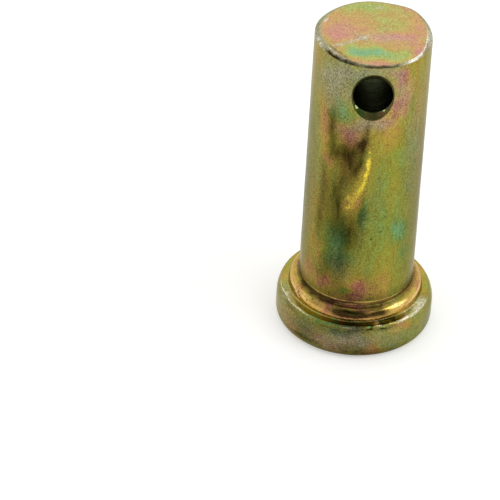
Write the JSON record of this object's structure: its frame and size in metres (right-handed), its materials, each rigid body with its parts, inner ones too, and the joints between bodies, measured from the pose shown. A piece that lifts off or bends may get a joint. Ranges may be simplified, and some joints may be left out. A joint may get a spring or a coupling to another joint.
{
  "type": "clevis pin",
  "caption": "Short round steel pin with a barrel-shaped head, a raised collar under the head and a countersunk cross hole near its free end.",
  "frame": {"origin": "centre of the head's outer face, which is the face that the pin stands on", "axes": "+Z along the pin's axis from the head to the free end, Y along the cross hole, X across both"},
  "size_m": [0.013, 0.013, 0.0283],
  "materials": {
    "clevis_pin": "bright zinc plate with an iridescent yellow chromate film"
  },
  "bodies": {
    "root": {"clevis_pin": "clevis_pin"}
  },
  "joints": []
}
